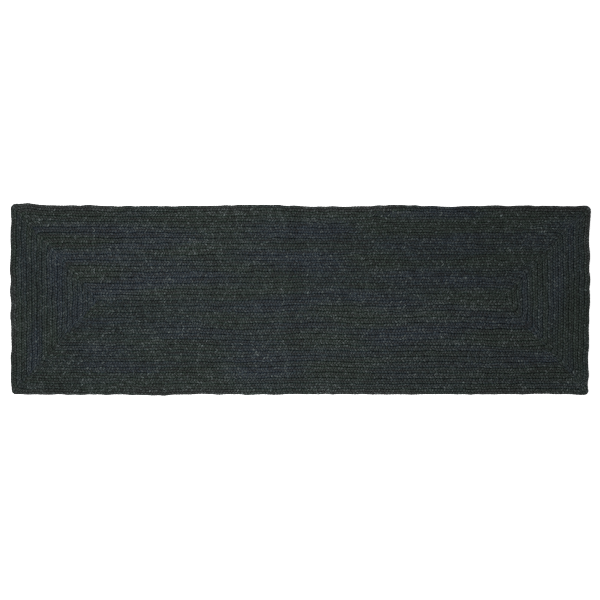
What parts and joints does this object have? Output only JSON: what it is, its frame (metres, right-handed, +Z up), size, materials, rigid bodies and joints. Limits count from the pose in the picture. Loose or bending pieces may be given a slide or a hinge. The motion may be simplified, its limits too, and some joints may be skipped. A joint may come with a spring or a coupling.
{
  "type": "braided runner rug",
  "caption": "Long narrow charcoal rug of flat plaited jute braid, wound as a rectangular spiral and sewn row to row, lying flat to cover a hall or kitchen floor.",
  "frame": {"origin": "on the floor, under the middle of the rug's outline", "axes": "+X along the rug's length, towards the end where the braid's own end is tucked in; +Y across its width; +Z up, out of the face that is walked on"},
  "size_m": [1.829, 0.595, 0.009],
  "materials": {
    "jute_braid": "matte",
    "sewing_thread": "matte"
  },
  "bodies": {
    "root": {"braid_turn_01": "jute_braid", "braid_turn_02": "jute_braid", "braid_turn_03": "jute_braid", "braid_turn_04": "jute_braid", "braid_turn_05": "jute_braid", "braid_turn_06": "jute_braid", "braid_turn_07": "jute_braid", "braid_turn_08": "jute_braid", "braid_turn_09": "jute_braid", "braid_turn_10": "jute_braid", "braid_turn_11": "jute_braid", "braid_turn_12": "jute_braid", "braid_turn_13": "jute_braid", "braid_turn_14": "jute_braid", "braid_turn_15": "jute_braid", "braid_turn_16": "jute_braid", "braid_turn_17": "jute_braid", "tucked_end": "jute_braid", "seam_thread_core": "sewing_thread", "seam_thread_01": "sewing_thread", "seam_thread_02": "sewing_thread", "seam_thread_03": "sewing_thread", "seam_thread_04": "sewing_thread", "seam_thread_05": "sewing_thread", "seam_thread_06": "sewing_thread", "seam_thread_07": "sewing_thread", "seam_thread_08": "sewing_thread", "seam_thread_09": "sewing_thread", "seam_thread_10": "sewing_thread", "seam_thread_11": "sewing_thread", "seam_thread_12": "sewing_thread", "seam_thread_13": "sewing_thread", "seam_thread_14": "sewing_thread", "seam_thread_15": "sewing_thread", "seam_thread_16": "sewing_thread", "seam_thread_end": "sewing_thread"}
  },
  "joints": []
}
